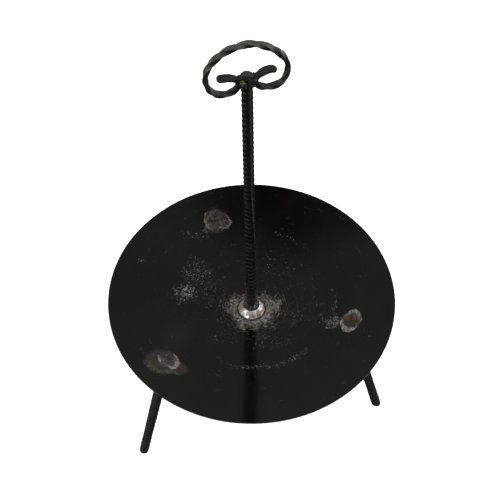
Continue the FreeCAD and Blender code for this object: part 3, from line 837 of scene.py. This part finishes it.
def crescent(finish, place, centre, radius, shift, strength):
    """A thin moon: an oval less the same oval moved aside."""
    sizes = (radius, radius * 1.15)
    full = finish.span(finish.spot(centre, sizes, 0, place), 0.86, 1.0, 1.0, 0.0)
    moved = (centre[0] + shift[0], centre[1] + shift[1])
    hollow = finish.span(finish.spot(moved, sizes, 0, place), 0.84, 1.08)
    return finish.times(full, hollow, strength)


def arc_highlights_and_grains(finish, place, fine):
    """Strokes of bare metal in the heat marks, thin arcs that are a painted highlight on one side
    of the weld ridges, and bright grains in the left one.
    """
    grains = finish.times(
        fading(finish, place, (-115, -98), (16, 17)),
        finish.span(fine, 0.58, 0.7),
    )
    return finish.most(
        fading(finish, place, (-127, -96), (2.8, 9), 4, 0.6),
        # the crescents are painted highlights, drawn as bare steel
        crescent(finish, place, (-111, -98), 12, (-4, 3), 0.95),
        crescent(finish, place, (-60, 146), 13, (4, 1), 0.3),
        crescent(finish, place, (-42, 143), 12, (-4, 3), 0.35),
        crescent(finish, place, (136, -38), 12, (4, 7), 0.95),
        crescent(finish, place, (143, -27), 13, (-3, -6), 0.6),
        finish.times(grains, 0.8),
    )


def brown_tint(finish, place):
    """Where the heat marks are tempered brown."""
    return finish.most(
        fading(finish, place, (-137, -97), (9, 19), 20, 0.8),
        fading(finish, place, (-100, -112), (12, 7), -20, 0.4),
        fading(finish, place, (142, -26), (10, 9)),
        fading(finish, place, (-57, 138), (9, 12), 0, 0.7),
    )


def heat_marks(finish, fine):
    """The scorched places over the legs' welds: scale, brown tint, pale rims, the left one
    strongest toward its lower left as painted light, and bright arcs that are painted highlights.
    """
    place = finish.wobble(13 * MM, 60, 6.0)
    left = finish.math(
        "MINIMUM",
        finish.spot((-122, -101), (24, 21), -8, place),
        finish.spot((-105, -107), (21, 11), -30, place),
    )
    back = finish.spot((-53, 144), (18, 20), 0, place)
    right = finish.spot((140, -31), (14, 16), 0, place)
    nearest = finish.math("MINIMUM", left, finish.math("MINIMUM", back, right))
    broken = finish.span(finish.noise(170, 5.0, 0.65), 0.36, 0.62, 0.2, 1.0)
    scale = finish.times(
        finish.span(nearest, 0.62, 1.14, 1.0, 0.0),
        finish.most(finish.span(left, 1.0, 1.2, 0.75, 0.0), broken),
    )
    # painted light: the left mark's pale rim of scale is strongest toward its lower left side
    lit_low_left = fading(finish, place, (-128, -124), (40, 20), -18, core=0.7)
    left_rim_scale_and_light = finish.times(
        finish.band(left, 0.88, 0.26),
        finish.plus(finish.times(lit_low_left, 0.85), 0.15),
    )
    pale = finish.times(broken, finish.most(
        left_rim_scale_and_light,
        finish.times(finish.band(back, 0.7, 0.45), 0.5),
        finish.times(finish.band(right, 0.75, 0.45), 0.7),
        finish.times(fading(finish, place, (-114, -99), (17, 16)), 0.5),
    ))
    unpitted = finish.inverse(fading(finish, place, (-112, -93), (6, 9), 0, 0.8, 0.3))
    ringed = finish.most(finish.span(left, 0.6, 0.7, 0.7, 1.0), finish.span(left, 0.5, 0.4))
    kept = finish.times(unpitted, ringed)
    brown = finish.times(scale, brown_tint(finish, place))
    scale, pale = finish.times(scale, kept), finish.times(pale, kept)
    return scale, brown, pale, arc_highlights_and_grains(finish, place, fine)


def hub_steel(finish, reach):
    """The colour of the bare steel: strokes of bright and dull, warm near the hub."""
    near = finish.span(reach, 0.25, 0.32, 1.0, 0.1)
    warm = finish.times(finish.span(finish.noise(75, 3.0), 0.4, 0.6), near)
    stroke = finish.span(finish.swirl(1.8, 8.0), 0.4, 0.6)
    dull = finish.blend(warm, DULL_STEEL, BROWN_STEEL)
    steel = finish.blend(stroke, dull, BARE_STEEL)
    return finish.blend(finish.times(warm, 0.6), steel, WARM_STEEL)


def plate_metal(finish, fine, grain, reach, upper, bright):
    """How much is drawn as bare steel: scuffs and chips on the upper face, except in a painted
    shade at the collar's foot; arcs over the welds that are a painted highlight; and a thin
    painted highlight along the edge.
    """
    # painted shade: a thin band round the collar's foot is kept black as a dark outline
    collar_foot_shade = finish.band(reach, (COLLAR_BASE + 0.8 * MM) / RIM_RADIUS, 2.6 * MM / RIM_RADIUS)
    upper_outside_shade = finish.times(upper, finish.inverse(collar_foot_shade))
    worn = finish.most(hub_scuffs(finish, fine), finish.times(spatter(finish), 0.85))
    shine = finish.times(bright, finish.span(fine, 0.42, 0.6, 0.1, 1.0))
    # painted highlight: a thin pale line along the plate's edge, drawn as steel
    rim = finish.span(reach, 0.9955, 0.9985)
    edge = finish.times(rim, finish.span(grain, 0.42, 0.6, 0.04, 0.35))
    return finish.most(finish.times(worn, upper_outside_shade), finish.times(shine, upper), edge)


def plate_finish():
    """Oil-blackened steel with a soft gloss, bare round the collar and scorched over the legs."""
    finish = Finish("blackened_plate")
    fine = finish.noise(800, 4.0, 0.6)
    grain = finish.noise(260, 5.0, 0.65)
    cloud = finish.noise(14, 3.0)
    scale, brown, pale, bright = heat_marks(finish, fine)
    from_centre = finish.vector("DISTANCE", finish.place, tuple(SPHERE_CENTRE))
    under = finish.span(from_centre, TOP_SPHERE + 1 * MM, TOP_SPHERE + 2 * MM)
    reach = finish.spot((0, 0), (RIM_RADIUS / MM, RIM_RADIUS / MM))
    smear = fading(finish, finish.place, (-104, -54), (26, 40), -20, 0.3, 0.1)
    burnt = finish.blend(finish.span(grain, 0.35, 0.68), BURNT_BLACK, BURNT_BROWN)
    scaled = finish.times(scale, finish.span(grain, 0.25, 0.62, 0.55, 1.0))
    whitened = finish.times(pale, finish.span(fine, 0.35, 0.6, 0.35, 1.0))
    metal = plate_metal(finish, fine, grain, reach, finish.inverse(under), bright)

    colour = finish.blend(finish.span(cloud, 0.35, 0.7), OILED_BLACK, OILED_BROWN)
    colour = finish.blend(smear, colour, SMEARED_GREY)
    colour = finish.blend(under, colour, burnt)
    colour = finish.blend(scaled, colour, SCALE_GREY)
    colour = finish.blend(finish.times(brown, 0.9), colour, SCALE_BROWN)
    colour = finish.blend(whitened, colour, PALE_SCALE_AND_LIGHT)
    colour = finish.blend(metal, colour, hub_steel(finish, reach))

    dull = finish.most(finish.times(scale, 0.9), finish.times(under, 0.75))
    gloss = finish.plus(finish.span(cloud, 0.3, 0.7, 0.05, 0.09), finish.times(grain, 0.05))
    relief = finish.plus(finish.times(grain, 0.6), finish.times(fine, 0.4))
    coarse = finish.span(finish.most(dull, finish.times(metal, 0.6)), 0.0, 1.0, 0.08, 0.7)
    finish.set(
        Base_Color=colour,
        Metallic=finish.times(metal, 0.95),
        Roughness=finish.plus(gloss, finish.times(dull, 0.3), finish.times(metal, 0.14)),
        IOR=1.5,
        Normal=finish.bump(relief, 0.35 * MM, coarse),
    )
    return finish.material


def collar_finish():
    """Turned and ground bright steel, a little warm where the weld above it ran hot."""
    finish = Finish("bright_collar")
    lines = finish.swirl(0.35, 1.5)
    grain = finish.noise(500, 4.0)
    warm = finish.span(finish.noise(70, 2.0), 0.42, 0.6)
    soot = finish.span(finish.noise(240, 4.0), 0.6, 0.72)
    steel = finish.blend(warm, COLLAR_STEEL, COLLAR_TINT)
    height = finish.plus(lines, finish.times(grain, 0.8))
    finish.set(
        Base_Color=finish.blend(finish.times(soot, 0.6), steel, COLLAR_SOOT),
        Metallic=0.74,
        Roughness=finish.plus(finish.span(grain, 0.3, 0.7, 0.2, 0.32), finish.times(soot, 0.15)),
        Normal=finish.bump(height, 0.12 * MM, 0.6),
    )
    return finish.material


def hammered_top_lit_at_back(finish):
    """The post's struck top face as bare steel, brighter toward the back as a painted highlight.
    """
    _, y, z = finish.split(finish.place)
    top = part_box("post")[1].z
    middle = bar_axis("post")[0][1]
    return finish.times(
        finish.span(z, top - 1.4 * MM, top - 0.9 * MM),
        # painted highlight: the top face is brighter toward the back and faint at the front
        finish.span(y, middle - 3.5 * MM, middle + 1 * MM, 0.12, 1.0),
    )


def bar_finish():
    """Ribbed bar blackened over its mill scale, its crests lighter from wear and from a painted
    highlight, with a breath of rust.
    """
    finish = Finish("black_bar")
    patch = finish.noise(45, 4.0, 0.6)
    grain = finish.noise(850, 4.0, 0.6)
    pits = finish.span(finish.cells(700), 0.0, 0.35)
    rust = finish.times(finish.span(finish.noise(110, 5.0, 0.65), 0.6, 0.72), 0.5)
    crest = finish.add("ShaderNodeAttribute")
    crest.attribute_name = "crest"
    # ribs and lugs drawn lighter: partly wear, partly a painted highlight
    lighter_where_raised = finish.times(
        finish.span(crest.outputs["Fac"], 0.5, 1.0),
        finish.span(finish.noise(120, 4.0, 0.6), 0.38, 0.6, 0.35, 1.0),
    )
    # the struck top face, with its painted highlight toward the back
    hammered = hammered_top_lit_at_back(finish)
    leg_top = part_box("leg_left")[1].z
    on_legs = finish.span(finish.split(finish.place)[2], leg_top - 15 * MM, leg_top, 1.0, 0.0)

    colour = finish.blend(finish.span(patch, 0.4, 0.65), POST_BLACK, POST_GREY)
    colour = finish.blend(rust, colour, RUST)
    # painted light: the legs are drawn greyer than the post, as if more lit
    colour = finish.blend(on_legs, colour, finish.blend(patch, LEG_LIT_BLACK, LEG_LIT_GREY))
    colour = finish.blend(finish.times(lighter_where_raised, 0.75), colour, CREST_WEAR_AND_HIGHLIGHT)
    colour = finish.blend(hammered, colour, HAMMERED_TOP_AND_HIGHLIGHT)
    height = finish.plus(grain, finish.times(pits, 0.5), finish.times(patch, 0.8))
    finish.set(
        Base_Color=colour,
        Metallic=finish.most(finish.times(lighter_where_raised, 0.25), finish.times(hammered, 0.75)),
        Roughness=finish.plus(finish.span(grain, 0.3, 0.7, 0.2, 0.32), finish.times(rust, 0.3)),
        IOR=1.38,
        Normal=finish.bump(height, 0.1 * MM, 0.45),
    )
    return finish.material


def forged_finish():
    """Forged and waxed steel: olive scale in flakes, painted shade on the faces that turn
    downward, grey where hands rub it.
    """
    finish = Finish("forged_bar")
    flakes = finish.cells(240, finish.wobble(3 * MM, 260), "SMOOTH_F1")
    patch = finish.noise(55, 4.0, 0.6)
    grain = finish.noise(750, 4.0, 0.62)
    warm = finish.times(finish.span(finish.noise(120, 3.0), 0.54, 0.68), 0.6)
    centre = tuple(to_handle_frame(np.zeros((1, 3)))[0])
    from_centre = finish.vector("DISTANCE", finish.wobble(6 * MM, 70), centre)
    scorched = finish.span(from_centre, 31 * MM, 42 * MM, 0.85, 0.0)
    upward = finish.split(finish.add("ShaderNodeNewGeometry").outputs["Normal"])[2]
    # painted shade: faces whose normal turns downward are darkened towards near black
    painted_shade_below = finish.span(upward, -0.15, 0.6, 0.85, 0.0)
    lighter_where_raised = finish.times(finish.worn(0.505, 0.54), finish.span(grain, 0.35, 0.62, 0.2, 0.7))

    colour = finish.blend(finish.span(patch, 0.38, 0.64), OLIVE_DARK, OLIVE_PALE)
    colour = finish.blend(warm, colour, RING_TINT)
    colour = finish.blend(scorched, colour, RING_SCORCHED)
    colour = finish.blend(painted_shade_below, colour, RING_PAINTED_SHADE)
    colour = finish.blend(lighter_where_raised, colour, RING_RUBBED)
    height = finish.plus(finish.times(flakes, 1.4), finish.times(grain, 0.7), patch)
    finish.set(
        Base_Color=colour,
        Metallic=finish.span(grain, 0.3, 0.7, 0.3, 0.5),
        Roughness=finish.span(grain, 0.3, 0.7, 0.36, 0.5),
        IOR=1.4,
        Normal=finish.bump(height, 0.4 * MM, 0.7),
    )
    return finish.material


def weld_finish(name, body, tint, bright, highlight_place=None):
    """Weld metal: dark slag in the hollows, a tint, bright grains, and perhaps one golden painted
    highlight.
    """
    finish = Finish(name)
    grain = finish.noise(650, 5.0, 0.65)
    cells = finish.cells(480, finish.wobble(1.5 * MM, 500))
    colour = finish.blend(finish.span(finish.noise(170, 3.0), 0.42, 0.6), body, tint)
    if highlight_place is not None:
        away = finish.vector("DISTANCE", finish.wobble(3 * MM, 300), highlight_place)
        # painted highlight: a small golden spot round the given place
        hot = finish.span(away, 2.0 * MM, 4.4 * MM, 1.0, 0.0)
        colour = finish.blend(hot, colour, GOLD_HIGHLIGHT)
    colour = finish.blend(finish.span(grain, 0.54, 0.4), colour, SLAG)
    grains = finish.times(finish.span(cells, 0.32, 0.12), finish.span(grain, 0.45, 0.62), bright)
    height = finish.plus(finish.times(cells, -1.2), grain)
    finish.set(
        Base_Color=finish.blend(grains, colour, WELD_GRAIN),
        Metallic=finish.span(grains, 0.0, 1.0, 0.35, 1.0),
        Roughness=finish.span(grain, 0.3, 0.7, 0.26, 0.48),
        Normal=finish.bump(height, 0.5 * MM, 0.8),
    )
    return finish.material


def dress(names, material):
    for name in names:
        slots = bpy.data.objects[name].data.materials
        slots.clear()
        slots.append(material)


def dress_all():
    legs = [f"ribbed_leg_{side_name}" for side_name in SEATS]
    leg_beads = [f"leg_bead_{side_name}" for side_name in SEATS]
    # place of the left weld's golden painted highlight
    gold_highlight_place = tuple(to_handle_frame(np.array([[-6.6, -8.2, -6.6]]) * MM)[0])
    golden = weld_finish("golden_weld", NUGGET_OLIVE, OLIVE_TINT, 0.12, gold_highlight_place)
    dress(["hearth_plate"], plate_finish())
    dress(["polished_collar"], collar_finish())
    dress(["ribbed_post", *legs], bar_finish())
    dress(["twisted_ring"], forged_finish())
    dress(["foot_bead"], weld_finish("hot_weld", HOT_BLACK, HOT_BROWN, 1.0))
    dress(["nugget_left"], golden)
    dress(["nugget_right"], weld_finish("purple_weld", NUGGET_PURPLE, PURPLE_TINT, 0.15))
    dress(["root_bead", *leg_beads], weld_finish("weld_metal", WELD_GREY, WELD_BROWN, 0.6))


# ------------------------------ the studio

FLOOR_GLOW = 0.8
TENT_LIGHT = 0.243
GROUND_LIGHT = 0.03
CAP_LIGHT = 0.02
DARK_CAP = (-0.115, 0.035, 0.993)
CAP_INNER, CAP_OUTER = math.radians(5), math.radians(23)

# name, place, target, size, watts, seen in reflections
LAMPS = [
    ("ceiling", (0.0, -0.3, 2.6), (0.0, 0.0, 0.0), (2.6, 2.6), 48, False),
    ("left_softbox", (-1.15, -0.35, 0.75), (0.0, 0.0, 0.25), (0.6, 1.0), 3, True),
    ("right_softbox", (1.15, 0.1, 0.75), (0.0, 0.0, 0.25), (0.9, 1.2), 7, True),
    ("front_left_softbox", (-1.3, -1.2, 1.05), (0.0, 0.0, 0.4), (0.6, 1.1), 8, True),
    ("back_left_softbox", (-1.1, 1.2, 0.6), (0.0, 0.0, 0.25), (0.6, 0.5), 2.4, True),
    ("back_right_softbox", (1.2, 1.0, 0.6), (0.0, 0.0, 0.25), (0.6, 0.5), 3.2, True),
    ("front_right_softbox", (1.0, -1.5, 0.9), (0.0, 0.0, 0.3), (0.3, 0.6), 2.2, True),
]

SENSOR_WIDTH, FOCAL_LENGTH = 36, 86.4
CAMERA_PLACE = (-0.00228, -0.9494, 1.41198 + RIM_HEIGHT)
CAMERA_DOWN = math.radians(53.91)


def add_floor():
    bpy.ops.mesh.primitive_plane_add(size=40, location=(0, 0, 0))
    floor = bpy.context.object
    floor.name = "studio_floor"
    finish = Finish("studio_floor")
    finish.set(Base_Color=0.85, Roughness=0.9, Emission_Color=1.0, Emission_Strength=FLOOR_GLOW)
    floor.data.materials.append(finish.material)
    floor.visible_glossy = False
    floor.visible_diffuse = False


def add_lamp(name, place, target, size, power, in_reflections):
    data = bpy.data.lights.new(name, "AREA")
    data.shape = "RECTANGLE"
    data.size, data.size_y = size
    data.energy = power
    lamp = bpy.data.objects.new(name, data)
    bpy.context.scene.collection.objects.link(lamp)
    lamp.location = place
    lamp.rotation_euler = (Vector(target) - Vector(place)).to_track_quat("-Z", "Y").to_euler()
    lamp.visible_camera = False
    lamp.visible_glossy = in_reflections


def add_world():
    """A pale backdrop to look at, and a dim light tent, darker overhead and below, to reflect."""
    studio = Finish("studio", world=True)
    direction = studio.add("ShaderNodeTexCoord").outputs["Generated"]
    to_cap = studio.vector("DOT_PRODUCT", direction, DARK_CAP)
    near, far = math.cos(CAP_INNER), math.cos(CAP_OUTER)
    above = studio.span(to_cap, far, near, TENT_LIGHT, CAP_LIGHT)
    upward = studio.split(direction)[2]
    below = studio.span(upward, -0.25, 0.1, GROUND_LIGHT / TENT_LIGHT, 1.0)
    seen = studio.add("ShaderNodeLightPath").outputs["Is Camera Ray"]
    strength = studio.most(studio.times(above, below), seen)
    studio.feed(studio.shader.inputs["Strength"], strength)
    studio.feed(studio.shader.inputs["Color"], 1.0)
    bpy.context.scene.world = studio.material


def light_studio():
    bpy.context.scene.view_settings.view_transform = "Standard"
    add_floor()
    add_world()
    for lamp in LAMPS:
        add_lamp(*lamp)


def add_camera():
    data = bpy.data.cameras.new("camera")
    data.sensor_width = SENSOR_WIDTH
    data.lens = FOCAL_LENGTH
    camera = bpy.data.objects.new("camera", data)
    bpy.context.scene.collection.objects.link(camera)
    camera.location = CAMERA_PLACE
    camera.rotation_euler = (math.pi / 2 - CAMERA_DOWN, 0, 0)
    bpy.context.scene.camera = camera


def main():
    add_camera()
    make_plate()
    make_collar()
    make_post()
    for seed, side_name in enumerate(SEATS):
        make_leg(side_name, seed)
    make_ring()
    make_welds()
    make_nuggets()
    dress_all()
    light_studio()


main()
